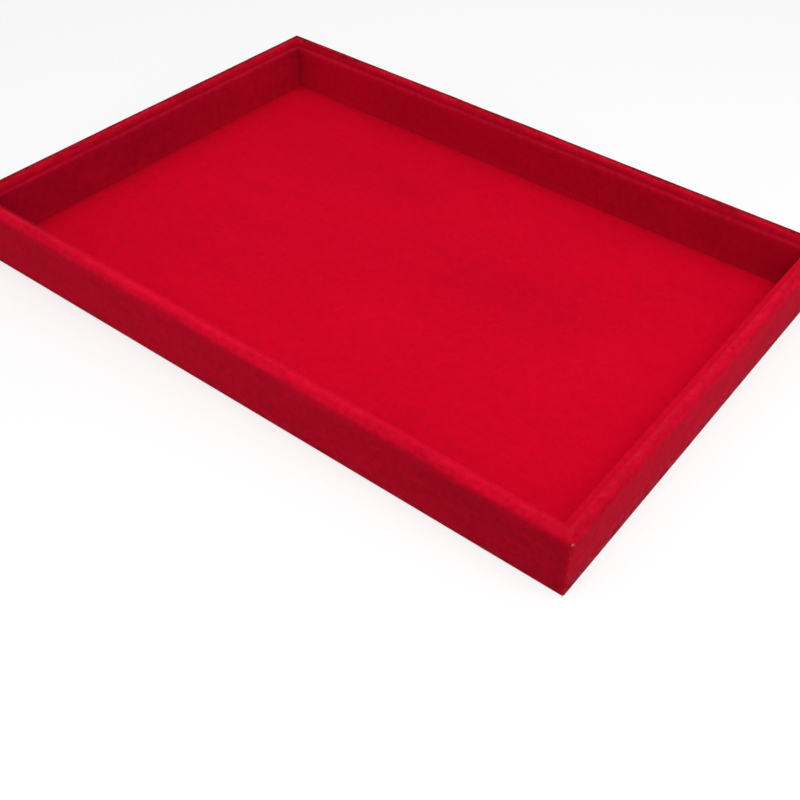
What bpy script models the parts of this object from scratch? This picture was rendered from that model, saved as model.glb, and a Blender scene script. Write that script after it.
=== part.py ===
"""Open jewelry display box: a shallow rectangular tray of board, covered in red velvet.

Metres, Z up. The origin is the centre of the underside. The long side runs along X,
and the front is the long wall at -Y. An inset is a distance in from the outer faces.
"""

from math import radians, sqrt

import bmesh
import bpy
from mathutils import Matrix, Vector

# Overall size
LENGTH = 0.350
WIDTH = 0.240
HEIGHT = 0.032

# Thickness of each material
VELVET = 0.0006
WALL_BOARD = 0.0038
BASE_BOARD = 0.0022
LINER_CARD = 0.0015
FLOOR_CARD = 0.0007
BACKING_SHEET = 0.0006

# Clearances
GLUE_LINE = 0.0003
MITRE_GAP = 0.0003
FLOOR_CLEARANCE = 0.0003

# How far the covers are folded over, and what stands back from what
TURN_UNDER = 0.010
RIM_TURN_DOWN = 0.012
LINER_TURN_BACK = 0.008
LINER_DROP = 0.0032

# Rounding of the wall boards' outer top edge
BOARD_ARRIS = 0.0024
ARC_STEPS = 4

# Heights, from the underside up
BASE_LOW = VELVET + GLUE_LINE
BASE_TOP = BASE_LOW + BASE_BOARD
STANDING_LOW = BASE_TOP + GLUE_LINE
FLOOR_CARD_TOP = STANDING_LOW + FLOOR_CARD
FLOOR_TOP = FLOOR_CARD_TOP + GLUE_LINE + VELVET
WALL_TOP = HEIGHT - VELVET - GLUE_LINE
LINER_TOP = HEIGHT - LINER_DROP
LINER_CARD_TOP = LINER_TOP - VELVET - GLUE_LINE

# Insets, from the outer faces in
BACKING_EDGE = TURN_UNDER + GLUE_LINE
BOARD_INSET = VELVET + GLUE_LINE
WALL_INSIDE = BOARD_INSET + WALL_BOARD
RIM_WIDTH = WALL_INSIDE + GLUE_LINE + VELVET
LINER_BACK = RIM_WIDTH + GLUE_LINE
CARD_BACK = LINER_BACK + VELVET + GLUE_LINE
CARD_FACE = CARD_BACK + LINER_CARD
LINER_FACE = CARD_FACE + GLUE_LINE + VELVET
FLOOR_EDGE = LINER_FACE + FLOOR_CLEARANCE
FLOOR_CARD_EDGE = FLOOR_EDGE + VELVET + GLUE_LINE

# The velvet's outer radius where it turns over a rounded and over a sharp board edge
ARRIS_FOLD = BOARD_ARRIS + GLUE_LINE + VELVET
TIGHT_FOLD = GLUE_LINE + VELVET

# How far a cutter runs past what it cuts
CUT_PAST = 0.002
SHARP_ANGLE = radians(40)
SAME_PLACE = 1e-6

# Linear colours
RED_VELVET = (0.55, 0.006, 0.025)
GREY_BOARD = (0.36, 0.31, 0.25)
BLACK_PAPER = (0.018, 0.017, 0.018)


def remove_everything():
    for obj in list(bpy.data.objects):
        bpy.data.objects.remove(obj, do_unlink=True)


def make_collection(name):
    collection = bpy.data.collections.new(name)
    bpy.context.scene.collection.children.link(collection)
    return collection


def make_material(name, colour, roughness):
    material = bpy.data.materials.new(name)
    material.use_nodes = True
    shader = material.node_tree.nodes["Principled BSDF"]
    shader.inputs["Base Color"].default_value = (*colour, 1.0)
    shader.inputs["Roughness"].default_value = roughness
    shader.inputs["Metallic"].default_value = 0.0
    material.diffuse_color = (*colour, 1.0)
    return material


def make_object(name, mesh, collection, material=None):
    obj = bpy.data.objects.new(name, mesh)
    collection.objects.link(obj)
    if material:
        mesh.materials.clear()
        mesh.materials.append(material)
    return obj


def finish_mesh(bm, name):
    """Turns the working mesh into a mesh whose folds are smooth and whose cut edges are sharp."""
    mesh = bpy.data.meshes.new(name)
    bm.to_mesh(mesh)
    bm.free()
    mesh.shade_smooth()
    mesh.set_sharp_from_angle(angle=SHARP_ANGLE)
    return mesh


def inset_of(point):
    return min(LENGTH / 2 - abs(point.x), WIDTH / 2 - abs(point.y))


def is_vertical(edge):
    run = edge.verts[1].co - edge.verts[0].co
    return abs(run.x) < SAME_PLACE and abs(run.y) < SAME_PLACE


def is_at(edge, inset, height):
    """True for an edge of the rectangle that runs round the tray at this inset and height."""
    return all(
        abs(inset_of(v.co) - inset) < SAME_PLACE and abs(v.co.z - height) < SAME_PLACE
        for v in edge.verts
    )


def round_edges(bm, edges, radius):
    bmesh.ops.bevel(
        bm, geom=edges, offset=radius, segments=ARC_STEPS, profile=0.5, affect="EDGES"
    )


def add_block(bm, inset, low, high):
    """A block as large as the tray, less the inset on each side, between two heights."""
    size = Vector((LENGTH - 2 * inset, WIDTH - 2 * inset, high - low))
    place = Matrix.Translation((0.0, 0.0, (low + high) / 2))
    bmesh.ops.create_cube(bm, size=1.0, matrix=place @ Matrix.Diagonal(size.to_4d()))


def block_mesh(name, inset, low, high):
    bm = bmesh.new()
    add_block(bm, inset, low, high)
    return finish_mesh(bm, name)


def wall_frame_mesh():
    """The block that the four wall boards are cut from, with its top edge rounded."""
    bm = bmesh.new()
    add_block(bm, BOARD_INSET, STANDING_LOW, WALL_TOP)
    round_edges(bm, [e for e in bm.edges if is_at(e, BOARD_INSET, WALL_TOP)], BOARD_ARRIS)
    return finish_mesh(bm, "wall_frame")


def folded_strip(path):
    """An open sheet that runs round the tray. Its section is a path of (inset, height) points."""
    bm = bmesh.new()
    bmesh.ops.create_grid(bm, x_segments=1, y_segments=1, size=1.0)
    bmesh.ops.delete(bm, geom=bm.faces[:], context="FACES_ONLY")
    corners = bm.verts[:]
    edges = bm.edges[:]
    for step, (inset, height) in enumerate(path):
        if step:
            grown = bmesh.ops.extrude_edge_only(bm, edges=edges)["geom"]
            corners = [g for g in grown if isinstance(g, bmesh.types.BMVert)]
            edges = [
                g
                for g in grown
                if isinstance(g, bmesh.types.BMEdge) and all(v in corners for v in g.verts)
            ]
        for v in corners:
            v.co.x = (LENGTH / 2 - inset) * (1 if v.co.x > 0 else -1)
            v.co.y = (WIDTH / 2 - inset) * (1 if v.co.y > 0 else -1)
            v.co.z = height
    return bm


def face_outwards(bm, inset, towards):
    """Makes the sheet's faces agree, with the front wall's face at this inset pointing to Y = towards."""
    bmesh.ops.recalc_face_normals(bm, faces=bm.faces[:])
    middle = Vector((0.0, inset - WIDTH / 2, (LINER_TOP + STANDING_LOW) / 2))
    face = min(bm.faces, key=lambda f: (f.calc_center_median() - middle).length)
    if face.normal.y * towards < 0:
        bmesh.ops.reverse_faces(bm, faces=bm.faces[:])


def outer_cover_mesh():
    """The velvet from the underside, up the outer faces, over the rim and down inside it."""
    bm = folded_strip(
        (
            (TURN_UNDER, 0.0),
            (0.0, 0.0),
            (0.0, HEIGHT),
            (RIM_WIDTH, HEIGHT),
            (RIM_WIDTH, HEIGHT - RIM_TURN_DOWN),
        )
    )
    face_outwards(bm, 0.0, -1)
    round_edges(bm, [e for e in bm.edges if is_at(e, 0.0, HEIGHT)], ARRIS_FOLD)
    tight = [
        e
        for e in bm.edges
        if is_at(e, RIM_WIDTH, HEIGHT)
        or is_at(e, 0.0, 0.0)
        or (is_vertical(e) and inset_of(e.verts[0].co) < SAME_PLACE)
    ]
    round_edges(bm, tight, TIGHT_FOLD)
    return finish_mesh(bm, "outer_cover_sheet")


def liner_cover_mesh():
    """The velvet up the inside of the liner, over its top edge and down behind it."""
    bm = folded_strip(
        (
            (LINER_FACE, STANDING_LOW),
            (LINER_FACE, LINER_TOP),
            (LINER_BACK, LINER_TOP),
            (LINER_BACK, LINER_TOP - LINER_TURN_BACK),
        )
    )
    face_outwards(bm, LINER_FACE, 1)
    folds = [
        e
        for e in bm.edges
        if is_at(e, LINER_FACE, LINER_TOP) or is_at(e, LINER_BACK, LINER_TOP)
    ]
    round_edges(bm, folds, TIGHT_FOLD)
    return finish_mesh(bm, "liner_cover_sheet")


def floor_cover_mesh():
    """The velvet over the floor card and down its edges."""
    bm = bmesh.new()
    add_block(bm, FLOOR_EDGE, STANDING_LOW, FLOOR_TOP)
    underneath = [f for f in bm.faces if f.normal.z < -0.5]
    bmesh.ops.delete(bm, geom=underneath, context="FACES_ONLY")
    round_edges(bm, [e for e in bm.edges if is_at(e, FLOOR_EDGE, FLOOR_TOP)], TIGHT_FOLD)
    return finish_mesh(bm, "floor_cover_sheet")


def add_thickness(obj):
    """Gives a sheet the velvet's thickness, behind the face that shows."""
    solidify = obj.modifiers.new("velvet", "SOLIDIFY")
    solidify.thickness = VELVET
    solidify.offset = -1.0
    solidify.use_even_offset = True


def add_boolean(obj, cutter, operation):
    boolean = obj.modifiers.new(cutter.name, "BOOLEAN")
    boolean.operation = operation
    boolean.object = cutter
    boolean.solver = "EXACT"


def make_cutter(name, mesh, collection):
    cutter = make_object(name, mesh, collection)
    cutter.display_type = "WIRE"
    cutter.hide_render = True
    return cutter


def make_mitre_blocks(collection):
    """One block for each wall: turned by 45 degrees, its sides are the wall's two mitre planes."""
    half = {"x": LENGTH / 2, "y": WIDTH / 2}
    walls = {
        "front": ((0.0, -half["y"]), half["x"]),
        "back": ((0.0, half["y"]), half["x"]),
        "left": ((-half["x"], 0.0), half["y"]),
        "right": ((half["x"], 0.0), half["y"]),
    }
    blocks = {}
    for wall, ((x, y), reach) in walls.items():
        side = (reach - MITRE_GAP / sqrt(2)) * sqrt(2)
        bm = bmesh.new()
        bmesh.ops.create_cube(
            bm, size=1.0, matrix=Matrix.Diagonal((side, side, HEIGHT + 2 * CUT_PAST, 1.0))
        )
        block = make_cutter(f"{wall}_mitres", finish_mesh(bm, f"{wall}_mitres"), collection)
        block.location = (x, y, HEIGHT / 2)
        block.rotation_euler.z = radians(45)
        blocks[wall] = block
    return blocks


def build():
    remove_everything()
    parts = make_collection("jewelry_display_box")
    cutters = make_collection("cutters")

    velvet = {
        use: make_material(f"{use}_velvet", RED_VELVET, 0.95)
        for use in ("outer", "liner", "floor")
    }
    board = make_material("grey_board", GREY_BOARD, 0.9)
    paper = make_material("black_backing_paper", BLACK_PAPER, 0.8)

    mitres = make_mitre_blocks(cutters)
    wall_well = make_cutter(
        "wall_well",
        block_mesh("wall_well", WALL_INSIDE, STANDING_LOW - CUT_PAST, WALL_TOP + CUT_PAST),
        cutters,
    )
    card_well = make_cutter(
        "card_well",
        block_mesh("card_well", CARD_FACE, STANDING_LOW - CUT_PAST, LINER_CARD_TOP + CUT_PAST),
        cutters,
    )

    make_object(
        "backing_sheet",
        block_mesh("backing_sheet", BACKING_EDGE, 0.0, BACKING_SHEET),
        parts,
        paper,
    )
    make_object(
        "base_board",
        block_mesh("base_board", BOARD_INSET, BASE_LOW, BASE_TOP),
        parts,
        board,
    )

    frame = wall_frame_mesh()
    cards = block_mesh("liner_cards", CARD_BACK, STANDING_LOW, LINER_CARD_TOP)
    outer_cover = outer_cover_mesh()
    liner_cover = liner_cover_mesh()
    for wall, mitre in mitres.items():
        wall_board = make_object(f"{wall}_wall_board", frame, parts, board)
        add_boolean(wall_board, wall_well, "DIFFERENCE")
        add_boolean(wall_board, mitre, "INTERSECT")

        card = make_object(f"{wall}_liner_card", cards, parts, board)
        add_boolean(card, card_well, "DIFFERENCE")
        add_boolean(card, mitre, "INTERSECT")

        cover = make_object(f"{wall}_outer_cover", outer_cover, parts, velvet["outer"])
        add_thickness(cover)
        add_boolean(cover, mitre, "INTERSECT")

        lining = make_object(f"{wall}_liner_cover", liner_cover, parts, velvet["liner"])
        add_thickness(lining)
        add_boolean(lining, mitre, "INTERSECT")

    make_object(
        "floor_card",
        block_mesh("floor_card", FLOOR_CARD_EDGE, STANDING_LOW, FLOOR_CARD_TOP),
        parts,
        board,
    )
    floor_cover = make_object("floor_cover", floor_cover_mesh(), parts, velvet["floor"])
    add_thickness(floor_cover)


build()
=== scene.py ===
"""The red velvet jewelry display box as it looks: velvet, boards, paper, light and camera.

Metres, Z up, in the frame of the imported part: the origin is the centre of the underside, the long
side runs along X and the front is the long wall at -Y. An inset is a distance in from the outer
faces.
"""

from math import atan2, cos, exp, pi, radians, sin, sqrt
from random import Random

import bmesh
import bpy
from mathutils import Matrix, Quaternion, Vector, noise


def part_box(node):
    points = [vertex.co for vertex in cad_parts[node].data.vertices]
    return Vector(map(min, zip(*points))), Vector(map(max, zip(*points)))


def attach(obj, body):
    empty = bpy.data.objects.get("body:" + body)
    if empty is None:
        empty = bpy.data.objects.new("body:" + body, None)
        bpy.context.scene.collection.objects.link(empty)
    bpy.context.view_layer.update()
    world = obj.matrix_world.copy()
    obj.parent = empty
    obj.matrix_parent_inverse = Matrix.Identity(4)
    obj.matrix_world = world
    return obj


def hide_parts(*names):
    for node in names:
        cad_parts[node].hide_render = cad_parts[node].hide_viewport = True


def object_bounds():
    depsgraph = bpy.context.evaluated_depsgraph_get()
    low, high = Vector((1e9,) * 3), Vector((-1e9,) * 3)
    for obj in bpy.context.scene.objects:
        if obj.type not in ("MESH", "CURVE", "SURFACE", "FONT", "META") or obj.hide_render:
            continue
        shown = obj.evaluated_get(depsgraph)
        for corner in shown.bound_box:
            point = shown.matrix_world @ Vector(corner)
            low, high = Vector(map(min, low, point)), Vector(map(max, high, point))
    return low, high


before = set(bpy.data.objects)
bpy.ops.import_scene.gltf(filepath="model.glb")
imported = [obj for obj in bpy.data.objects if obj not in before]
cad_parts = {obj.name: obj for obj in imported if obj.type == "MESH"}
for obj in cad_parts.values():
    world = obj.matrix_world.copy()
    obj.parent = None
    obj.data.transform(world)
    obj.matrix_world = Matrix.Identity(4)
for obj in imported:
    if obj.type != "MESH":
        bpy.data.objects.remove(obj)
cad_box = [list(corner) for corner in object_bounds()]
HALF_LENGTH, HALF_WIDTH, RIM_TOP = cad_box[1]


def insets_of(node):
    """How far in from the front the near and the far side of a front node are."""
    low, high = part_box(node)
    return low.y + HALF_WIDTH, high.y + HALF_WIDTH


# Sizes of the boards and covers, from the frame
BOARD_INSET, WALL_INSIDE = insets_of("front_wall_board")
LINER_BACK, LINER_FACE = insets_of("front_liner_cover")
TURN_UNDER = insets_of("front_outer_cover")[1]
RIM_WIDTH = WALL_INSIDE + BOARD_INSET
LINER_LOW, LINER_TOP = (corner.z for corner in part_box("front_liner_cover"))
FLOOR_LOW, FLOOR_TOP = (corner.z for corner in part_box("floor_cover"))

# The velvet, how far it turns round its boards, and the outer radii of its folds: over the rim's
# outer and inner edge, round other board edges, at the upright corners, at the floor's edges and
# where two covers meet in a mitre. The last value is the slit round the floor.
VELVET = 0.0006
RIM_TURN_DOWN = 0.012
LINER_TURN_BACK = 0.008
ARRIS_FOLD = 0.0031
RIM_INNER_FOLD = 0.0015
TIGHT_FOLD = BOARD_INSET
CORNER_FOLD = 0.0012
FLOOR_FOLD = 0.0007
MITRE_FOLD = 0.00025
FLOOR_SLIT = 0.00006

# How finely the velvet is cut: steps in a fold, along a section, along a wall and over the floor
ARC_STEPS = 8
SECTION_STEP = 0.0016
RUN_STEP = 0.003
FLOOR_STEP = 0.003
SHARP_ANGLE = radians(50)

# Where the covers meet at the corners: the open seam, how soon and how far their ends roll down
# into it, how far the seam shows in the pile, and where the columns of points near it stand, on the
# straight run and on the corner's fold
SEAM_GAP = 0.00004
SEAM_ROLL = 0.0005
LINER_ROLL = 0.0016
ROLL_DEPTH = 0.00007
SEAM_FADE = 0.0008
RUN_ENDS = (0.0003, 0.0008, 0.0015, 0.0024)
ARC_STOPS = (0.0, 0.25, 0.5, 0.7, 0.85, 0.95, 1.0)

# How far the velvet stands off its board, in waves of these lengths and heights, and how much of
# that it does in each place
WAVES = ((0.045, 0.00016), (0.013, 0.00007), (0.004, 0.00003))
OUTER_GIVE = {"face": 1.0, "rim": 0.5, "inside": 0.25}
LINER_GIVE = {"face": 0.7, "back": 0.3}
FLOOR_GIVE = 0.6

# How far apart the patterns of the four walls' covers are, for each degree of their turn
CLOTH_SHIFT = 0.1

# Painted light and shade, kept as the pile's lean: above 0 the pile is painted brighter, below 0
# darker. The walls differ because each is seen and lit from another side. A band is its middle,
# its half width and how much it adds. A patch of pile tone and painted light and shade is its
# place from the wall's middle towards its right end, its height, half its length, half its height
# and how much it adds.

# On the outer faces: painted light all over, painted shade near the bottom, a painted highlight on
# the fold at the wall's ends, painted shade in a band beside it, whose place is measured from the
# wall's end, and patches of pile tone and painted shade
OUTER_PAINTED_LIGHT = {"front": 0.25, "right": 0.165, "back": 0.1, "left": 0.12}
BOTTOM_PAINTED_SHADE = {"front": -0.2, "right": -0.45, "back": -0.3, "left": -0.2}
BOTTOM_PAINTED_SHADE_FADE = {"front": 0.003, "right": 0.006, "back": 0.004, "left": 0.004}
CORNER_PAINTED_HIGHLIGHT = 0.1
CORNER_PAINTED_HIGHLIGHT_WIDTH = 0.001
CORNER_BAND_PAINTED_SHADE = {"front": -0.13, "right": 0.0, "back": -0.04, "left": -0.04}
CORNER_BAND_PLACE = (0.004, 0.002)
OUTER_PILE_AND_SHADE_PATCHES = {
    "front": (
        (0.16, 0.012, 0.08, 0.05, -0.2),
        (0.118, 0.024, 0.012, 0.006, -0.08),
        (0.164, 0.024, 0.007, 0.006, -0.1),
        (0.058, 0.022, 0.016, 0.006, -0.05),
        (-0.03, 0.014, 0.02, 0.008, 0.06),
        (-0.127, 0.017, 0.01, 0.008, -0.05),
    ),
    "right": (
        (0.04, 0.014, 0.06, 0.05, 0.06),
        (-0.12, 0.012, 0.006, 0.05, -0.12),
        (-0.02, 0.01, 0.014, 0.006, 0.05),
        (-0.01, 0.027, 0.045, 0.005, 0.09),
    ),
    "back": ((-0.06, 0.015, 0.05, 0.012, -0.08), (0.09, 0.02, 0.03, 0.01, 0.06)),
    "left": ((0.03, 0.012, 0.04, 0.012, -0.06), (-0.07, 0.02, 0.02, 0.01, 0.06)),
}

# On the rim, painted light: it starts this far down the outer face and is whole this far before
# the rim's inner edge, that start wanders along the wall, and it is less near the wall's ends,
# where shade is painted. A band of painted light and shade has its middle at the inset less the
# depth below the top, and on the inside at the inset and the depth together. A stretch of pile
# tone and painted light on the rim is its place along the wall, half its length and how much it
# adds.
RIM_PAINTED_LIGHT = {"front": 0.27, "right": 0.12, "back": 0.03, "left": -0.04}
RIM_PAINTED_LIGHT_DEPTH = 0.0075
RIM_PAINTED_LIGHT_WHOLE = 0.0012
RIM_PAINTED_LIGHT_RUN = RIM_PAINTED_LIGHT_DEPTH + RIM_WIDTH - RIM_PAINTED_LIGHT_WHOLE
RIM_EDGE_WANDER = 0.0026
RIM_EDGE_WAVE = 0.021
RIM_EDGE_ROW = 0.5
RIM_END_PAINTED_SHADE = -0.2
RIM_END_FADE = 0.014
RIM_LIGHT_AND_SHADE_BANDS = {
    "front": ((-0.0035, 0.0018, 0.12), (0.0012, 0.0013, -0.13)),
    "right": ((0.0005, 0.0014, -0.12), (-0.0035, 0.0018, 0.06)),
    "back": ((0.0032, 0.0017, -0.5),),
    "left": ((0.0032, 0.0017, -0.38),),
}
RIM_PILE_AND_LIGHT_PATCHES = {
    "front": (
        (-0.125, 0.014, -0.1),
        (-0.015, 0.04, 0.04),
        (0.055, 0.01, -0.06),
        (0.108, 0.016, -0.12),
        (0.163, 0.01, -0.12),
    ),
    "right": ((-0.079, 0.008, -0.08), (0.0, 0.016, 0.09), (-0.042, 0.012, 0.04)),
    "back": ((0.05, 0.02, 0.04),),
    "left": ((-0.03, 0.02, 0.04),),
}
# Light painted inside the rim's inner fold: the rim's value at the top, this one further down
INSIDE_PAINTED_LIGHT = {"front": 0.36, "right": 0.58, "back": 0.14, "left": 0.02}
INSIDE_FADE = 0.0004

# On the lining: painted shade down its face with a slope along the wall, painted light and shade
# at its top edge and in bands whose middle is the inset and the depth below its top together,
# painted light near the floor, painted shade in the corners at the wall's left and right end, and
# patches of pile tone and painted shade
LINER_PAINTED_SHADE = {"front": -0.18, "right": -0.18, "back": -0.15, "left": -0.235}
LINER_SHADE_SLOPE = {"front": 0.0, "right": 0.0, "back": 0.04, "left": -0.07}
LINER_TOP_LIGHT_AND_SHADE = {"front": 0.42, "right": 0.27, "back": -0.1, "left": 0.04}
LINER_TOP_FADE = 0.0012
LINER_LIGHT_AND_SHADE_BANDS = {
    "front": (),
    "right": ((0.0064, 0.0003, 0.32), (0.0069, 0.0005, 0.05), (0.0092, 0.0006, 0.22)),
    "back": ((0.0104, 0.0012, 0.17),),
    "left": (),
}
LINER_BOTTOM_PAINTED_LIGHT = {"front": 0.1, "right": 0.1, "back": 0.2, "left": 0.17}
LINER_BOTTOM_FADE = 0.0018
LINER_CORNER_PAINTED_SHADE = {
    "front": (-0.12, -0.12),
    "right": (-0.12, -0.12),
    "back": (0.0, -0.22),
    "left": (-0.14, -0.12),
}
LINER_CORNER_FADE = 0.006
LINER_PILE_AND_SHADE_PATCHES = {
    "front": ((-0.145, 0.0285, 0.03, 0.004, -0.5), (0.155, 0.0285, 0.015, 0.004, -0.1)),
    "right": ((-0.092, 0.0288, 0.02, 0.002, -0.07),),
    "back": ((0.145, 0.016, 0.045, 0.03, 0.1),),
    "left": ((0.02, 0.016, 0.03, 0.02, -0.04),),
}

# On the floor: painted light and shade along each wall, and patches of pile tone and painted shade
# (middle in X and Y, half length, half width)
FLOOR_EDGE_LIGHT_AND_SHADE = {"front": 0.0, "right": 0.17, "back": -0.48, "left": -0.54}
FLOOR_EDGE_FADE = {"front": 0.004, "right": 0.014, "back": 0.0042, "left": 0.0042}
FLOOR_PILE_AND_SHADE_PATCHES = (
    (-0.13, -0.02, 0.03, 0.04, 0.07),
    (0.055, 0.015, 0.045, 0.03, -0.1),
    (0.14, 0.02, 0.03, 0.03, 0.06),
    (-0.03, -0.085, 0.05, 0.02, 0.05),
    (0.06, -0.085, 0.035, 0.02, -0.05),
    (0.125, -0.08, 0.03, 0.02, -0.05),
    (-0.075, 0.06, 0.04, 0.02, -0.05),
)

# Where the pile is worn and its paler ground shows: at the rim's inner fold and the lining's top
# edge, where it is also a painted highlight, and at the bottom edge
RIM_WEAR_AND_HIGHLIGHT = {"front": 0.07, "right": 0.32, "back": 0.5, "left": 0.5}
RIM_WEAR_FADE = 0.0009
LINER_WEAR_AND_HIGHLIGHT = {"front": 0.0, "right": 0.1, "back": 0.3, "left": 0.3}
BOTTOM_WEAR = {"front": 1.2, "right": 3.6, "back": 1.6, "left": 1.2}
BOTTOM_WEAR_FADE = {"front": 0.0018, "right": 0.0044, "back": 0.002, "left": 0.002}

# The four walls: half their length, how far out they stand, and their turn from the front
WALLS = {
    "front": (HALF_LENGTH, HALF_WIDTH, 0),
    "right": (HALF_WIDTH, HALF_LENGTH, 90),
    "back": (HALF_LENGTH, HALF_WIDTH, 180),
    "left": (HALF_WIDTH, HALF_LENGTH, 270),
}

# The frayed threads at the four corners, which lie to these sides in X and Y: the share of the
# threads that each has, and each tuft's height, inset, spread, number of threads and length
CORNERS = {
    "front_right": (1, -1),
    "front_left": (-1, -1),
    "back_right": (1, 1),
    "back_left": (-1, 1),
}
THREAD_SHARE = {"front_right": 1.0, "front_left": 0.5, "back_right": 0.4, "back_left": 0.4}
THREAD_TUFTS = (
    (0.0304, 0.0006, 0.0004, 16, 0.0007),
    (0.022, 0.0004, 0.0003, 2, 0.0003),
    (0.013, 0.0004, 0.0003, 2, 0.0003),
    (0.0008, 0.0004, 0.0003, 6, 0.0009),
)

# A thread: how far it may turn aside and rise, at the foot of the box too, how its length varies,
# how much it bends, and the tube that it is made of
THREAD_SIDEWAYS = 0.8
THREAD_RISE = (-0.5, 1.0)
THREAD_RISE_AT_FOOT = (0.0, 0.3)
THREAD_LENGTHS = (0.6, 1.2)
THREAD_BEND = 0.3
FIBRE_RADIUS = 0.00007
FIBRE_TAPER = 0.6
FIBRE_SIDES = 5
FIBRE_STEPS = 4

# The velvet's pattern: how much each part of it counts, how large it is and how far it is drawn out
# along the strip, and how much the specks rise beside the single tufts
PATCH_SHARE = 0.26
STREAK_SHARE = 0.28
SPECK_SHARE = 0.46
STREAK_SIZE = 0.012
STREAK_STRETCH = (0.35, 1.0, 1.0)
SPECK_SIZE = 0.0032
TUFT_SIZE = 0.0005
SPECK_RISE = 0.6

# Where the paler ground shows: the clouds' size, their contrast and the level that they start from
CLOUD_SIZE = 0.005
CLOUD_CONTRAST = 6.5
CLOUD_START = -2.75

# The velvet's linear colours and its surface. For each cover: the colours of pile that leans away
# and is painted in shade and of pile that leans in and is painted in light, how much the pattern
# counts, its patches' size, and how much ground shows in between, where it is worn and painted
# bright and at seams
VELVET_GROUND = (0.62, 0.14, 0.22, 1.0)
SHEEN_RED = (1.0, 0.045, 0.1, 1.0)
VELVET_ROUGHNESS = 0.95
VELVET_SPECULAR = 0.03
SHEEN_ROUGHNESS = 0.45
VELVET_BUMP = {"Strength": 0.5, "Distance": 0.0002}
VELVET_LOOKS = {
    "outer_velvet": {
        "dark_pile_and_shade": (0.2, 0.0004, 0.004, 1.0),
        "bright_pile_and_light": (0.78, 0.002, 0.027, 1.0),
        "brushing": 1.05,
        "patch": 0.055,
        "dust": 0.009,
        "at_wear_and_highlight": 0.12,
        "at_seams": 0.02,
        "sheen": 0.28,
    },
    "liner_velvet": {
        "dark_pile_and_shade": (0.2, 0.0005, 0.0115, 1.0),
        "bright_pile_and_light": (0.78, 0.0012, 0.025, 1.0),
        "brushing": 0.66,
        "patch": 0.05,
        "dust": 0.004,
        "at_wear_and_highlight": 0.1,
        "at_seams": 0.0,
        "sheen": 0.2,
    },
    "floor_velvet": {
        "dark_pile_and_shade": (0.4, 0.0004, 0.01, 1.0),
        "bright_pile_and_light": (0.82, 0.0004, 0.023, 1.0),
        "brushing": 0.7,
        "patch": 0.08,
        "dust": 0.003,
        "at_wear_and_highlight": 0.0,
        "at_seams": 0.0,
        "sheen": 0.07,
    },
}

# Board, paper, cloth backs and threads: flecks in a cloudy pulp, and for each the darkest and
# lightest colour, the clouds' size and the roughness
FLECK_SIZE = 0.0006
FLECK_STRETCH = (1.0, 0.3, 1.0)
FLECK_SHARE = 0.35
FIBRE_BUMP = {"Strength": 0.4, "Distance": 0.0001}
FIBROUS_LOOKS = {
    "cloth_back": ((0.3, 0.04, 0.06, 1.0), (0.5, 0.12, 0.14, 1.0), 0.004, 0.95),
    "ground_thread": ((0.74, 0.1, 0.13, 1.0), (0.9, 0.24, 0.24, 1.0), 0.002, 0.9),
    "grey_board": ((0.28, 0.24, 0.19, 1.0), (0.44, 0.39, 0.32, 1.0), 0.012, 0.9),
    "backing_paper": ((0.013, 0.012, 0.013, 1.0), (0.025, 0.024, 0.025, 1.0), 0.02, 0.8),
}

# Camera, found from the edges of the box in the photograph
CAMERA_PLACE = Vector((0.2699, -0.3438, 0.3191))
CAMERA_AIM = Vector((0.0917, -0.0859, 0.0))
CAMERA_ROLL = radians(3.05)
CAMERA_LENS = 47.23
CAMERA_SENSOR = 36.0
CAMERA_SHIFT = (-0.0501, 0.0596)
CAMERA_NEAR = 0.01

# The studio: its size, the surround as it lights and as it is seen, the floor as it lights and as
# it is seen, and the lamps' places, aims, sizes and powers
STUDIO_SIZE = 12.0
WHITE = (1.0, 1.0, 1.0, 1.0)
ROOM_LIGHT = 0.55
ROOM_SEEN = 0.81
FLOOR_BOUNCE = (0.25, 0.25, 0.25, 1.0)
FLOOR_SEEN = (0.42, 0.42, 0.42, 1.0)
FLOOR_GLOW = 0.58
FLOOR_ROUGHNESS = 0.9
LAMPS = {
    "overhead_softbox": ((0.4, -0.25, 0.95), (0.05, 0.0, 0.0), 0.8, 6.5),
    "side_softbox": ((1.3, -0.5, 0.5), (0.0, 0.0, 0.0), 0.8, 1.5),
}


def lerp(a, b, part):
    """The value at this part of the way from a to b."""
    return a + (b - a) * part


def spaced(length, step):
    """Even parts of a length, from 0 to 1, about a step apart."""
    count = max(1, round(length / step))
    return [i / count for i in range(count + 1)]


def fold_path(corners, radii):
    """A folded sheet's section, as rows of a point (inset, height) and its outward normal.

    Each corner between the ends has a fold of an outer radius. The outward side is on the left.
    """
    points = [Vector(c) for c in corners]
    ways = [(b - a).normalized() for a, b in zip(points, points[1:])]
    outs = [Vector((-way.y, way.x)) for way in ways]
    trims = [0.0, *radii, 0.0]
    rows = []
    for k, (way, out) in enumerate(zip(ways, outs)):
        start = points[k] + way * trims[k]
        end = points[k + 1] - way * trims[k + 1]
        for part in spaced((end - start).length, SECTION_STEP):
            rows.append((start.lerp(end, part), out))
        if k < len(ways) - 1:
            radius = radii[k]
            middle = end - out * radius
            angle = atan2(out.y, out.x)
            for step in range(1, ARC_STEPS):
                turned = angle - step / ARC_STEPS * pi / 2
                normal = Vector((cos(turned), sin(turned)))
                rows.append((middle + normal * radius, normal))
    return rows


def smooth(part):
    """Eases a part from 0 to 1, and holds it there outside that."""
    part = min(1.0, max(0.0, part))
    return part * part * (3 - 2 * part)


def wave(point, give):
    """How far the velvet stands off its board here, where it gives by this share."""
    total = 0.0
    for length, height in WAVES:
        total += height * noise.noise(point / length)
    return total * give


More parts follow.
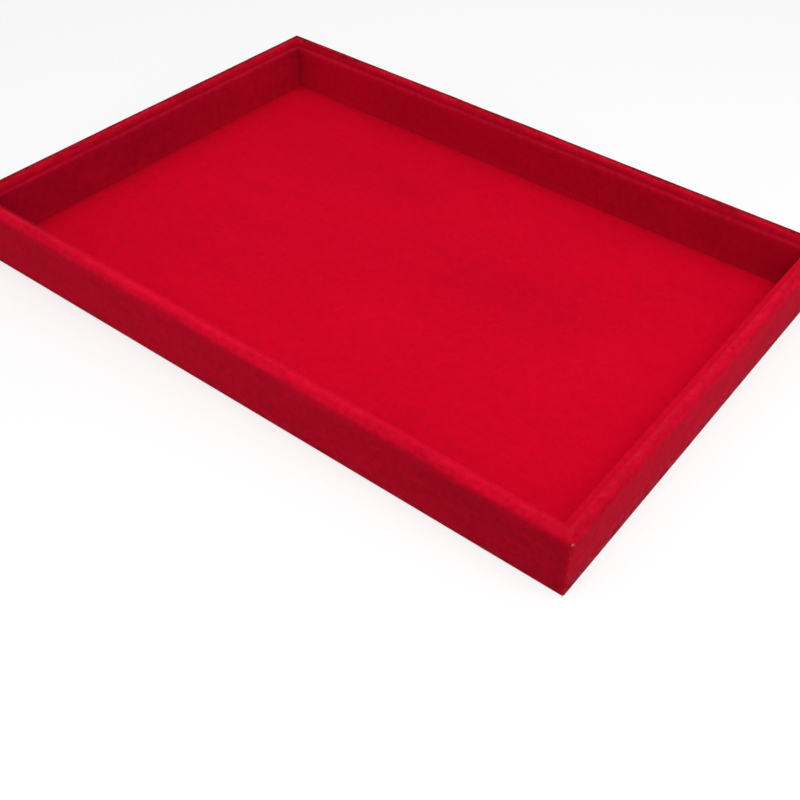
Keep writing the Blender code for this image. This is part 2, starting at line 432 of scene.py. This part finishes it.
def roll_depth(to_seam, roll):
    """How far a cover's end turns down into the seam, at this distance from it."""
    if to_seam >= roll:
        return 0.0
    part = 1.0 - to_seam / roll
    return ROLL_DEPTH * (1.0 - sqrt(1.0 - part * part))


def run_columns(reach):
    """Where the columns of a wall's cover stand, in parts of its straight run and corner arcs."""
    length = 2 * reach
    inner = [2 * part - 1 for part in spaced(length - 2 * RUN_ENDS[-1], RUN_STEP)]
    scale = 1 - RUN_ENDS[-1] / reach
    runs = [part * scale for part in inner]
    ends = [1 - end / reach for end in reversed(RUN_ENDS[:-1])]
    straight = [-end for end in reversed(ends)] + runs + ends
    left = [("arc", -1, stop) for stop in reversed(ARC_STOPS)]
    right = [("arc", 1, stop) for stop in ARC_STOPS]
    return left + [("run", part, 0.0) for part in straight] + right


def place_on_wall(column, reach, inset, fold):
    """Along-wall place, extra inset and distance to the seam, for a column at this inset."""
    kind, side, stop = column
    sweep = pi / 4 - SEAM_GAP / 2 / fold
    straight = reach - inset - fold
    if kind == "run":
        return side * straight, 0.0, fold * sweep + (1 - abs(side)) * straight
    angle = sweep * stop
    along = side * (straight + fold * sin(angle))
    return along, fold * (1 - cos(angle)), fold * (sweep - angle)


def strip_mesh(name, wall, rows, outer_fold, roll, cover):
    """A closed velvet strip round one wall: the pile side, the back of the cloth and its cut edges.

    outer_fold is the fold at the wall's ends at inset 0, and roll is how soon the strip turns down
    into its seams. The cover's functions say how loosely it lies, what light and shade is painted
    into its pile with its lean, and how worn it is, with a painted highlight at its inner fold.
    """
    reach, stand, turn = WALLS[wall]
    turned = Matrix.Rotation(radians(turn), 3, "Z")
    columns = run_columns(reach)
    verts = []
    painted_lights_and_leans = []
    wear_and_highlight_values = []
    seams = []
    cloth = []
    for depth in (0.0, VELVET):
        across = 0.0
        for k, (point, out) in enumerate(rows):
            if k:
                across += (point - rows[k - 1][0]).length
            for column in columns:
                inset = point.x - depth * out.x
                height = point.y - depth * out.y
                fold = max(outer_fold - inset, MITRE_FOLD)
                along, extra, to_seam = place_on_wall(column, reach, inset, fold)
                if depth == 0.0:
                    here = turned @ Vector((along, inset + extra - stand, height))
                    lift = wave(here, cover["give"](point)) - roll_depth(to_seam, roll)
                    inset += lift * out.x
                    height += lift * out.y
                    along, extra, to_seam = place_on_wall(column, reach, inset, fold)
                verts.append(turned @ Vector((along, inset + extra - stand, height)))
                # Light and shade painted into the velvet's colour, kept with the pile's lean
                painted_lights_and_leans.append(cover["painted_light_and_lean"](wall, along, point))
                # Wear, and at the inner folds a painted highlight, where the paler ground shows
                wear_and_highlight_values.append(cover["wear_and_highlight"](wall, point))
                seams.append(exp(-to_seam / SEAM_FADE))
                cloth.append((along, across, CLOTH_SHIFT * turn))
    wide = len(columns)
    side = wide * len(rows)
    faces = []
    for k in range(len(rows) - 1):
        for c in range(wide - 1):
            a = k * wide + c
            quad = (a, a + 1, a + wide + 1, a + wide)
            faces.append(quad)
            faces.append(tuple(v + side for v in reversed(quad)))
    outline = list(range(wide))
    outline += [k * wide + wide - 1 for k in range(1, len(rows))]
    outline += [(len(rows) - 1) * wide + c for c in range(wide - 2, -1, -1)]
    outline += [k * wide for k in range(len(rows) - 2, 0, -1)]
    cut_faces = len(faces)
    for a, b in zip(outline, outline[1:] + outline[:1]):
        faces.append((b, a, a + side, b + side))
    mesh = bpy.data.meshes.new(name)
    mesh.from_pydata(verts, [], faces)
    keep_on_points(mesh, "painted_light_and_lean", "FLOAT", painted_lights_and_leans)
    keep_on_points(mesh, "wear_and_highlight", "FLOAT", wear_and_highlight_values)
    keep_on_points(mesh, "seam", "FLOAT", seams)
    keep_on_points(mesh, "cloth", "FLOAT_VECTOR", cloth)
    mark_cut(mesh, side, cut_faces)
    finish_mesh(mesh)
    return mesh


def keep_on_points(mesh, name, kind, values):
    """Keeps a value for each point, which the materials read."""
    attribute = mesh.attributes.new(name, kind, "POINT")
    if kind == "FLOAT":
        attribute.data.foreach_set("value", values)
    else:
        attribute.data.foreach_set("vector", [x for value in values for x in value])


def mark_cut(mesh, side, cut_faces):
    """Gives the cloth's back and its cut edges the second material."""
    for face in mesh.polygons:
        if face.index >= cut_faces or min(face.vertices) >= side:
            face.material_index = 1


def finish_mesh(mesh):
    """Turns all faces outwards and shades the mesh smooth, with its cut edges sharp."""
    bm = bmesh.new()
    bm.from_mesh(mesh)
    bmesh.ops.recalc_face_normals(bm, faces=bm.faces[:])
    bm.to_mesh(mesh)
    bm.free()
    mesh.shade_smooth()
    mesh.set_sharp_from_angle(angle=SHARP_ANGLE)


def add_piece(name, mesh, materials, replaced=()):
    """Puts a finished mesh in the scene as a piece of the tray, in place of these nodes."""
    piece = bpy.data.objects.new(name, mesh)
    bpy.context.scene.collection.objects.link(piece)
    for material in materials:
        mesh.materials.append(material)
    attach(piece, "root")
    if replaced:
        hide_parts(*replaced)
    return piece


def bell(value, middle, half_width):
    """1 at the middle, fading out softly to both sides."""
    return exp(-(((value - middle) / half_width) ** 2))


def light_and_pile_patches(patches, along, across):
    """How much these patches of pile tone and painted light and shade brighten the pile here."""
    total = 0.0
    for middle, level, half_length, half_height, amount in patches:
        total += amount * bell(along, middle, half_length) * bell(across, level, half_height)
    return total


def outer_give(point):
    """The outer cover lies loosest on the outer face, and flat underneath and in the groove."""
    if point.y < TIGHT_FOLD:
        return 0.0
    if point.x < ARRIS_FOLD:
        return OUTER_GIVE["face"]
    return OUTER_GIVE["rim" if point.y > RIM_TOP - TIGHT_FOLD else "inside"]


def outer_painted_light_and_lean(wall, along, point):
    """Painted light and shade, brightest on the rim, fading down the outer face and the inside."""
    down = RIM_TOP - point.y
    to_end = WALLS[wall][0] - abs(along)
    rim = RIM_PAINTED_LIGHT[wall] + RIM_END_PAINTED_SHADE * exp(-to_end / RIM_END_FADE)
    rim += sum(amount * bell(along, *place) for *place, amount in RIM_PILE_AND_LIGHT_PATCHES[wall])
    place_in_wave = Vector((along / RIM_EDGE_WAVE, WALLS[wall][2], RIM_EDGE_ROW))
    level = RIM_EDGE_WANDER * noise.noise(place_in_wave)
    if point.x > RIM_WIDTH - RIM_INNER_FOLD:
        level += point.x + down
        total = lerp(INSIDE_PAINTED_LIGHT[wall], rim, exp(-down / INSIDE_FADE))
    else:
        level += point.x - down
        near_bottom = exp(-((point.y / BOTTOM_PAINTED_SHADE_FADE[wall]) ** 2))
        total = OUTER_PAINTED_LIGHT[wall] + BOTTOM_PAINTED_SHADE[wall] * near_bottom
        total += light_and_pile_patches(OUTER_PILE_AND_SHADE_PATCHES[wall], along, point.y)
        total += CORNER_PAINTED_HIGHLIGHT * bell(to_end, 0.0, CORNER_PAINTED_HIGHLIGHT_WIDTH)
        total += CORNER_BAND_PAINTED_SHADE[wall] * bell(to_end, *CORNER_BAND_PLACE)
        total = lerp(total, rim, smooth((RIM_PAINTED_LIGHT_DEPTH + level) / RIM_PAINTED_LIGHT_RUN))
    return total + sum(amount * bell(level, *band) for *band, amount in RIM_LIGHT_AND_SHADE_BANDS[wall])


def outer_wear_and_highlight(wall, point):
    """Worn most at the bottom edge, and a little worn and painted bright at the rim's inner turn.
    """
    if point.x < TIGHT_FOLD:
        return BOTTOM_WEAR[wall] * exp(-point.y / BOTTOM_WEAR_FADE[wall])
    to_fold = (point - Vector((RIM_WIDTH - RIM_INNER_FOLD, RIM_TOP))).length
    return RIM_WEAR_AND_HIGHLIGHT[wall] * bell(to_fold, 0.0, RIM_WEAR_FADE)


def liner_give(point):
    """The lining lies looser on its face than at its back."""
    return LINER_GIVE["face" if point.x > LINER_FACE - TIGHT_FOLD else "back"]


def liner_painted_light_and_lean(wall, along, point):
    """Painted light and shade on the lining, otherwise along its top edge than down its face."""
    reach = WALLS[wall][0]
    down = LINER_TOP - point.y
    to_corner = max(0.0, reach - point.x - abs(along))
    total = LINER_PAINTED_SHADE[wall] + LINER_SHADE_SLOPE[wall] * along / reach
    total += LINER_TOP_LIGHT_AND_SHADE[wall] * exp(-down / LINER_TOP_FADE)
    total += sum(amount * bell(point.x + down, *band) for *band, amount in LINER_LIGHT_AND_SHADE_BANDS[wall])
    total += LINER_BOTTOM_PAINTED_LIGHT[wall] * exp(-max(0.0, point.y - FLOOR_TOP) / LINER_BOTTOM_FADE)
    total += LINER_CORNER_PAINTED_SHADE[wall][along > 0] * exp(-to_corner / LINER_CORNER_FADE)
    return total + light_and_pile_patches(LINER_PILE_AND_SHADE_PATCHES[wall], along, point.y)


def liner_wear_and_highlight(wall, point):
    """A little wear and a painted highlight along the lining's top edge."""
    to_fold = (point - Vector((LINER_FACE, LINER_TOP))).length
    return LINER_WEAR_AND_HIGHLIGHT[wall] * bell(to_fold, 0.0, RIM_WEAR_FADE)


OUTER_COVER = {"give": outer_give, "painted_light_and_lean": outer_painted_light_and_lean, "wear_and_highlight": outer_wear_and_highlight}
LINER_COVER = {"give": liner_give, "painted_light_and_lean": liner_painted_light_and_lean, "wear_and_highlight": liner_wear_and_highlight}


def add_outer_covers(materials):
    """The velvet from the underside, up the outer faces, over the rim and down inside it."""
    corners = (
        (TURN_UNDER, 0.0),
        (0.0, 0.0),
        (0.0, RIM_TOP),
        (RIM_WIDTH, RIM_TOP),
        (RIM_WIDTH, RIM_TOP - RIM_TURN_DOWN),
    )
    rows = fold_path(corners, (TIGHT_FOLD, ARRIS_FOLD, RIM_INNER_FOLD))
    for wall, (reach, _, _) in WALLS.items():
        name = f"{wall}_outer_velvet"
        mesh = strip_mesh(name, wall, rows, CORNER_FOLD, SEAM_ROLL, OUTER_COVER)
        piece = add_piece(name, mesh, materials, (f"{wall}_outer_cover",))


def add_liner_covers(materials):
    """The velvet up behind the liner, over its top edge and down its face."""
    corners = (
        (LINER_BACK, LINER_TOP - LINER_TURN_BACK),
        (LINER_BACK, LINER_TOP),
        (LINER_FACE, LINER_TOP),
        (LINER_FACE, LINER_LOW),
    )
    rows = fold_path(corners, (TIGHT_FOLD, TIGHT_FOLD))
    for wall, (reach, _, _) in WALLS.items():
        name = f"{wall}_liner_velvet"
        mesh = strip_mesh(name, wall, rows, 0.0, LINER_ROLL, LINER_COVER)
        piece = add_piece(name, mesh, materials, (f"{wall}_liner_cover",))


def cut_in_rows(bm, axis, reach, step):
    """Cuts the sheet across an axis in even rows, so that it can take a soft shape."""
    normal = Vector((0.0, 0.0, 0.0))
    normal[axis] = 1.0
    for part in spaced(2 * reach, step)[1:-1]:
        place = normal * lerp(-reach, reach, part)
        everything = bm.verts[:] + bm.edges[:] + bm.faces[:]
        bmesh.ops.bisect_plane(bm, geom=everything, plane_co=place, plane_no=normal)


def floor_painted_light_and_lean(place, long_half, wide_half):
    """Painted light and shade close to each wall, and patches of pile tone and painted shade."""
    to_walls = {
        "front": wide_half + place.y,
        "right": long_half - place.x,
        "back": wide_half - place.y,
        "left": long_half + place.x,
    }
    total = light_and_pile_patches(FLOOR_PILE_AND_SHADE_PATCHES, place.x, place.y)
    for wall, far in to_walls.items():
        total += FLOOR_EDGE_LIGHT_AND_SHADE[wall] * exp(-far / FLOOR_EDGE_FADE[wall])
    return total


def add_floor_cover(materials):
    """The velvet floor: one sheet over its card, folded down at the four edges."""
    long_half = HALF_LENGTH - LINER_FACE - FLOOR_SLIT
    wide_half = HALF_WIDTH - LINER_FACE - FLOOR_SLIT
    size = (2 * long_half, 2 * wide_half, FLOOR_TOP - FLOOR_LOW, 1.0)
    middle = Matrix.Translation((0.0, 0.0, (FLOOR_LOW + FLOOR_TOP) / 2))
    bm = bmesh.new()
    bmesh.ops.create_cube(bm, size=1.0, matrix=middle @ Matrix.Diagonal(size))
    bmesh.ops.delete(bm, geom=[f for f in bm.faces if f.normal.z < -0.5], context="FACES_ONLY")
    top_edges = [e for e in bm.edges if all(v.co.z > FLOOR_TOP - VELVET for v in e.verts)]
    bmesh.ops.bevel(
        bm, geom=top_edges, offset=FLOOR_FOLD, segments=ARC_STEPS, profile=0.5, affect="EDGES"
    )
    cut_in_rows(bm, 0, long_half, FLOOR_STEP)
    cut_in_rows(bm, 1, wide_half, FLOOR_STEP)
    for v in bm.verts:
        if v.co.z > FLOOR_TOP - VELVET / 2:
            v.co.z += wave(v.co, FLOOR_GIVE)
    mesh = bpy.data.meshes.new("floor_velvet")
    bm.to_mesh(mesh)
    bm.free()
    # Light and shade painted into the floor's colour close to the walls, with patches
    painted_lights_and_leans = [floor_painted_light_and_lean(v.co, long_half, wide_half) for v in mesh.vertices]
    keep_on_points(mesh, "painted_light_and_lean", "FLOAT", painted_lights_and_leans)
    for name in ("wear_and_highlight", "seam"):
        keep_on_points(mesh, name, "FLOAT", [0.0] * len(mesh.vertices))
    keep_on_points(mesh, "cloth", "FLOAT_VECTOR", [tuple(v.co) for v in mesh.vertices])
    mesh.shade_smooth()
    piece = add_piece("floor_velvet", mesh, materials, ("floor_cover",))
    thickness = piece.modifiers.new("velvet", "SOLIDIFY")
    thickness.thickness = VELVET
    thickness.offset = -1.0
    thickness.use_even_offset = True
    thickness.material_offset = 1
    thickness.material_offset_rim = 1


def add_fibre(bm, points, radius):
    """One fibre along its points: a fine tube that ends in a point."""
    rings = []
    for k, point in enumerate(points[:-1]):
        way = (points[k + 1] - point).normalized()
        side = way.orthogonal().normalized()
        thick = radius * (1 - FIBRE_TAPER * k / len(points))
        ring = []
        for step in range(FIBRE_SIDES):
            turn = Quaternion(way, 2 * pi * step / FIBRE_SIDES)
            ring.append(bm.verts.new(point + turn @ side * thick))
        rings.append(ring)
    for low, high in zip(rings, rings[1:]):
        for a in range(FIBRE_SIDES):
            b = (a + 1) % FIBRE_SIDES
            bm.faces.new((low[a], low[b], high[b], high[a]))
    tip = bm.verts.new(points[-1])
    for a in range(FIBRE_SIDES):
        bm.faces.new((rings[-1][a], rings[-1][(a + 1) % FIBRE_SIDES], tip))
    bm.faces.new(rings[0][::-1])


def add_corner_threads(material):
    """The cut ends of the covers fray a little at each corner: a tuft on top, a few below."""
    for corner, (x, y) in CORNERS.items():
        chance = Random(f"{corner} threads")
        out = Vector((x, y, 0.0)).normalized()
        along = Vector((-out.y, out.x, 0.0))
        bm = bmesh.new()
        for height, inset, spread, count, length in THREAD_TUFTS:
            for _ in range(round(count * THREAD_SHARE[corner])):
                start = Vector((x * (HALF_LENGTH - inset), y * (HALF_WIDTH - inset), height))
                start += along * chance.uniform(-spread, spread)
                start.z += chance.uniform(-spread, spread)
                way = out + along * chance.uniform(-THREAD_SIDEWAYS, THREAD_SIDEWAYS)
                at_foot = height <= spread * 2
                way.z = chance.uniform(*(THREAD_RISE_AT_FOOT if at_foot else THREAD_RISE))
                long = length * chance.uniform(*THREAD_LENGTHS)
                sway = [chance.uniform(-THREAD_BEND, THREAD_BEND) for _ in range(2)]
                bend = Vector((*sway, -THREAD_BEND)) * long
                points = []
                for step in range(FIBRE_STEPS + 1):
                    part = step / FIBRE_STEPS
                    points.append(start + way.normalized() * long * part + bend * part * part)
                    points[-1].z = max(points[-1].z, FIBRE_RADIUS)
                add_fibre(bm, points, FIBRE_RADIUS)
        mesh = bpy.data.meshes.new(f"{corner}_threads")
        bm.to_mesh(mesh)
        bm.free()
        mesh.shade_smooth()
        add_piece(f"{corner}_threads", mesh, (material,))


def new_group(name, inputs, outputs):
    """An empty shader node group with its named sockets."""
    group = bpy.data.node_groups.new(name, "ShaderNodeTree")
    for label, (kind, value) in inputs.items():
        socket = group.interface.new_socket(name=label, in_out="INPUT", socket_type=kind)
        if value is not None:
            socket.default_value = value
    for label, kind in outputs.items():
        group.interface.new_socket(name=label, in_out="OUTPUT", socket_type=kind)
    return group, group.nodes.new("NodeGroupInput"), group.nodes.new("NodeGroupOutput")


def fill(tree, socket, value):
    """Gives a socket its value, which is a number, a colour or another node's output."""
    if isinstance(value, bpy.types.NodeSocket):
        tree.links.new(value, socket)
    else:
        socket.default_value = value


def put(tree, kind, sockets=None, **settings):
    """Adds a node with its settings and fills its sockets."""
    node = tree.nodes.new(kind)
    for label, value in settings.items():
        setattr(node, label, value)
    for label, value in (sockets or {}).items():
        fill(tree, node.inputs[label], value)
    return node


def calculate(tree, operation, first, second, third=None):
    """The output of a Math node."""
    values = {0: first, 1: second}
    if third is not None:
        values[2] = third
    return put(tree, "ShaderNodeMath", values, operation=operation).outputs[0]


def grain(tree, place, size, detail, stretch=None):
    """Noise from 0 to 1 whose patches are of this size in metres, drawn out where stretch says."""
    if stretch:
        place = put(
            tree, "ShaderNodeVectorMath", {0: place, 1: stretch}, operation="MULTIPLY"
        ).outputs["Vector"]
    node = put(tree, "ShaderNodeTexNoise", {"Vector": place, "Scale": 1 / size, "Detail": detail})
    return node.outputs["Fac"]


def mixed(tree, part, first, second):
    """The output of a Mix node, whose colours are its sockets 6 and 7 and whose result is its 2."""
    node = tree.nodes.new("ShaderNodeMix")
    node.data_type = "RGBA"
    for place, value in ((0, part), (6, first), (7, second)):
        fill(tree, node.inputs[place], value)
    return node.outputs[2]


def make_pile_group():
    """How velvet pile lies: broad brushed patches, streaks along the strip, and single tufts."""
    group, given, result = new_group(
        "velvet_pile",
        {
            "Cloth": ("NodeSocketVector", None),
            "Painted Light And Lean": ("NodeSocketFloat", 0.0),
            "Brushing": ("NodeSocketFloat", 1.0),
            "Patch Size": ("NodeSocketFloat", 0.05),
        },
        {"Lie And Painted Light": "NodeSocketFloat", "Tufts": "NodeSocketFloat"},
    )
    cloth = given.outputs["Cloth"]
    wide = calculate(group, "DIVIDE", 1.0, given.outputs["Patch Size"])
    patches = put(
        group,
        "ShaderNodeTexNoise",
        {"Vector": cloth, "Scale": wide, "Detail": 3.0, "Roughness": 0.55, "Distortion": 0.4},
    ).outputs["Fac"]
    streaks = grain(group, cloth, STREAK_SIZE, detail=2.0, stretch=STREAK_STRETCH)
    specks = grain(group, cloth, SPECK_SIZE, detail=1.5)
    tufts = grain(group, cloth, TUFT_SIZE, detail=1.0)
    lie = calculate(group, "MULTIPLY", patches, PATCH_SHARE)
    lie = calculate(group, "MULTIPLY_ADD", streaks, STREAK_SHARE, lie)
    lie = calculate(group, "MULTIPLY_ADD", specks, SPECK_SHARE, lie)
    centred = calculate(group, "SUBTRACT", lie, 0.5)
    brushing, painted_light_and_lean = given.outputs["Brushing"], given.outputs["Painted Light And Lean"]
    # The painted light and shade is added to the pile's lie here
    spread = calculate(group, "MULTIPLY_ADD", centred, brushing, painted_light_and_lean)
    shade = put(group, "ShaderNodeMath", {0: spread, 1: 0.5}, operation="ADD", use_clamp=True)
    raised = calculate(group, "MULTIPLY_ADD", specks, SPECK_RISE, tufts)
    group.links.new(shade.outputs[0], result.inputs["Lie And Painted Light"])
    group.links.new(raised, result.inputs["Tufts"])
    return group


def make_opened_pile_group():
    """Paler ground where velvet's pile opens, at wear and seams, and as a painted highlight."""
    group, given, result = new_group(
        "opened_pile",
        {
            "Pile": ("NodeSocketColor", (0.5, 0.0, 0.02, 1.0)),
            "Ground": ("NodeSocketColor", (0.6, 0.2, 0.2, 1.0)),
            "Cloth": ("NodeSocketVector", None),
            "Wear And Highlight": ("NodeSocketFloat", 0.0),
            "Seam": ("NodeSocketFloat", 0.0),
            "Dust": ("NodeSocketFloat", 0.005),
            "At Wear And Highlight": ("NodeSocketFloat", 0.2),
            "At Seams": ("NodeSocketFloat", 0.4),
        },
        {"Colour": "NodeSocketColor"},
    )
    cloth = given.outputs["Cloth"]
    clouds = put(
        group,
        "ShaderNodeTexNoise",
        {"Vector": cloth, "Scale": 1 / CLOUD_SIZE, "Detail": 4.0, "Roughness": 0.8},
    ).outputs["Fac"]
    uneven = calculate(group, "MULTIPLY_ADD", clouds, CLOUD_CONTRAST, CLOUD_START)
    worn_and_lit = calculate(group, "MULTIPLY", given.outputs["Wear And Highlight"], given.outputs["At Wear And Highlight"])
    seamed = calculate(group, "MULTIPLY", given.outputs["Seam"], given.outputs["At Seams"])
    opened = calculate(group, "ADD", worn_and_lit, seamed)
    opened = calculate(group, "ADD", opened, given.outputs["Dust"])
    shown = put(
        group, "ShaderNodeMath", {0: opened, 1: uneven}, operation="MULTIPLY", use_clamp=True
    )
    colour = mixed(group, shown.outputs[0], given.outputs["Pile"], given.outputs["Ground"])
    group.links.new(colour, result.inputs["Colour"])
    return group


def make_fibre_group():
    """Pressed fibre of board, paper and cloth backs: cloudy pulp with finer flecks."""
    group, given, result = new_group(
        "pressed_fibre",
        {"Place": ("NodeSocketVector", None), "Cloud Size": ("NodeSocketFloat", 0.01)},
        {"Shade": "NodeSocketFloat", "Flecks": "NodeSocketFloat"},
    )
    place = given.outputs["Place"]
    scale = calculate(group, "DIVIDE", 1.0, given.outputs["Cloud Size"])
    clouds = put(
        group, "ShaderNodeTexNoise", {"Vector": place, "Scale": scale, "Detail": 5.0}
    ).outputs["Fac"]
    flecks = grain(group, place, FLECK_SIZE, detail=2.0, stretch=FLECK_STRETCH)
    clouded = calculate(group, "MULTIPLY", clouds, 1 - FLECK_SHARE)
    shade = calculate(group, "MULTIPLY_ADD", flecks, FLECK_SHARE, clouded)
    group.links.new(shade, result.inputs["Shade"])
    group.links.new(flecks, result.inputs["Flecks"])
    return group


def new_material(name):
    """A material with its Principled shader ready to be filled in."""
    material = bpy.data.materials.new(name)
    material.use_nodes = True
    return material, material.node_tree, material.node_tree.nodes["Principled BSDF"]


def set_shader(tree, shader, values):
    """Fills the shader's sockets."""
    for label, value in values.items():
        fill(tree, shader.inputs[label], value)


def read_points(tree, kept, output):
    """An output with what the mesh keeps for each point under this name."""
    return put(tree, "ShaderNodeAttribute", attribute_name=kept).outputs[output]


def make_velvet(name, pile_group, opened_group, looks):
    """Short-pile velvet with painted light and shade in its colour, paler where its pile opens."""
    material, tree, shader = new_material(name)
    cloth = read_points(tree, "cloth", "Vector")
    painted_light_and_lean, wear_and_highlight, seam = (read_points(tree, kept, "Fac") for kept in ("painted_light_and_lean", "wear_and_highlight", "seam"))
    pile = put(
        tree,
        "ShaderNodeGroup",
        {
            "Cloth": cloth,
            "Painted Light And Lean": painted_light_and_lean,
            "Brushing": looks["brushing"],
            "Patch Size": looks["patch"],
        },
        node_tree=pile_group,
    )
    # The pile's colour, painted lighter and darker by the light and shade kept with the lean
    colour = mixed(tree, pile.outputs["Lie And Painted Light"], looks["dark_pile_and_shade"], looks["bright_pile_and_light"])
    opened = put(
        tree,
        "ShaderNodeGroup",
        {
            "Pile": colour,
            "Cloth": cloth,
            "Wear And Highlight": wear_and_highlight,
            "Seam": seam,
            "Ground": VELVET_GROUND,
            "Dust": looks["dust"],
            "At Wear And Highlight": looks["at_wear_and_highlight"],
            "At Seams": looks["at_seams"],
        },
        node_tree=opened_group,
    )
    bump = put(tree, "ShaderNodeBump", {**VELVET_BUMP, "Height": pile.outputs["Tufts"]})
    set_shader(
        tree,
        shader,
        {
            "Base Color": opened.outputs["Colour"],
            "Roughness": VELVET_ROUGHNESS,
            "Specular IOR Level": VELVET_SPECULAR,
            "Sheen Weight": looks["sheen"],
            "Sheen Roughness": SHEEN_ROUGHNESS,
            "Sheen Tint": SHEEN_RED,
            "Normal": bump.outputs["Normal"],
        },
    )
    return material


def make_fibrous(name, fibre_group, dark, light, cloud, roughness):
    """Board, paper or cloth back, read in the object's own place."""
    material, tree, shader = new_material(name)
    place = put(tree, "ShaderNodeTexCoord").outputs["Object"]
    sockets = {"Place": place, "Cloud Size": cloud}
    fibre = put(tree, "ShaderNodeGroup", sockets, node_tree=fibre_group)
    colour = mixed(tree, fibre.outputs["Shade"], dark, light)
    bump = put(tree, "ShaderNodeBump", {**FIBRE_BUMP, "Height": fibre.outputs["Flecks"]})
    set_shader(
        tree,
        shader,
        {"Base Color": colour, "Roughness": roughness, "Normal": bump.outputs["Normal"]},
    )
    return material


def make_materials():
    """All materials of the tray, by name."""
    pile = make_pile_group()
    opened = make_opened_pile_group()
    fibre = make_fibre_group()
    made = {name: make_velvet(name, pile, opened, looks) for name, looks in VELVET_LOOKS.items()}
    for name, looks in FIBROUS_LOOKS.items():
        made[name] = make_fibrous(name, fibre, *looks)
    return made


def dress_boards(materials):
    """The boards and the backing sheet stay as the frame has them, with finished materials."""
    for name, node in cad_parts.items():
        if name.endswith(("_board", "_card")) or name == "backing_sheet":
            slot = "backing_paper" if name == "backing_sheet" else "grey_board"
            node.data.materials.clear()
            node.data.materials.append(materials[slot])


def add_camera():
    """The camera at the photograph's place and angle."""
    camera = bpy.data.objects.new("photo_camera", bpy.data.cameras.new("photo_camera"))
    bpy.context.scene.collection.objects.link(camera)
    camera.location = CAMERA_PLACE
    aimed = (CAMERA_AIM - CAMERA_PLACE).to_track_quat("-Z", "Y")
    camera.rotation_mode = "QUATERNION"
    camera.rotation_quaternion = aimed @ Quaternion((0.0, 0.0, 1.0), CAMERA_ROLL)
    camera.data.sensor_width = CAMERA_SENSOR
    camera.data.lens = CAMERA_LENS
    camera.data.shift_x, camera.data.shift_y = CAMERA_SHIFT
    camera.data.clip_start = CAMERA_NEAR
    bpy.context.scene.camera = camera


def add_lamp(name, place, aim, size, power):
    """A soft square lamp that shines from a place towards a point."""
    lamp = bpy.data.objects.new(name, bpy.data.lights.new(name, "AREA"))
    bpy.context.scene.collection.objects.link(lamp)
    lamp.location = place
    lamp.rotation_mode = "QUATERNION"
    lamp.rotation_quaternion = (Vector(aim) - Vector(place)).to_track_quat("-Z", "Y")
    lamp.data.size = size
    lamp.data.energy = power


def seen_directly(tree):
    """1 for the camera and what is seen in gloss or through glass, 0 for light on the object."""
    ray = put(tree, "ShaderNodeLightPath").outputs
    seen = calculate(tree, "MAXIMUM", ray["Is Camera Ray"], ray["Is Glossy Ray"])
    return calculate(tree, "MAXIMUM", seen, ray["Is Transmission Ray"])


def add_studio():
    """A pale floor, a pale surround and soft light from above."""
    world = bpy.data.worlds.new("studio")
    bpy.context.scene.world = world
    world.use_nodes = True
    tree = world.node_tree
    background = tree.nodes["Background"]
    background.inputs["Color"].default_value = WHITE
    more_seen = ROOM_SEEN - ROOM_LIGHT
    strength = calculate(tree, "MULTIPLY_ADD", seen_directly(tree), more_seen, ROOM_LIGHT)
    tree.links.new(strength, background.inputs["Strength"])

    mesh = bpy.data.meshes.new("studio_floor")
    half = STUDIO_SIZE / 2
    corners = [(-half, -half, 0.0), (half, -half, 0.0), (half, half, 0.0), (-half, half, 0.0)]
    mesh.from_pydata(corners, [], [(0, 1, 2, 3)])
    floor = bpy.data.objects.new("studio_floor", mesh)
    bpy.context.scene.collection.objects.link(floor)
    material, tree, shader = new_material("studio_floor")
    colour = mixed(tree, seen_directly(tree), FLOOR_BOUNCE, FLOOR_SEEN)
    glow = calculate(tree, "MULTIPLY", seen_directly(tree), FLOOR_GLOW)
    set_shader(
        tree,
        shader,
        {
            "Base Color": colour,
            "Roughness": FLOOR_ROUGHNESS,
            "Specular IOR Level": 0.0,
            "Emission Color": WHITE,
            "Emission Strength": glow,
        },
    )
    mesh.materials.append(material)

    for name, (place, aim, size, power) in LAMPS.items():
        add_lamp(name, place, aim, size, power)


def main():
    bpy.context.scene.view_settings.view_transform = "Standard"
    materials = make_materials()
    dress_boards(materials)
    add_outer_covers((materials["outer_velvet"], materials["cloth_back"]))
    add_liner_covers((materials["liner_velvet"], materials["cloth_back"]))
    add_floor_cover((materials["floor_velvet"], materials["cloth_back"]))
    add_corner_threads(materials["ground_thread"])
    add_studio()
    add_camera()


main()
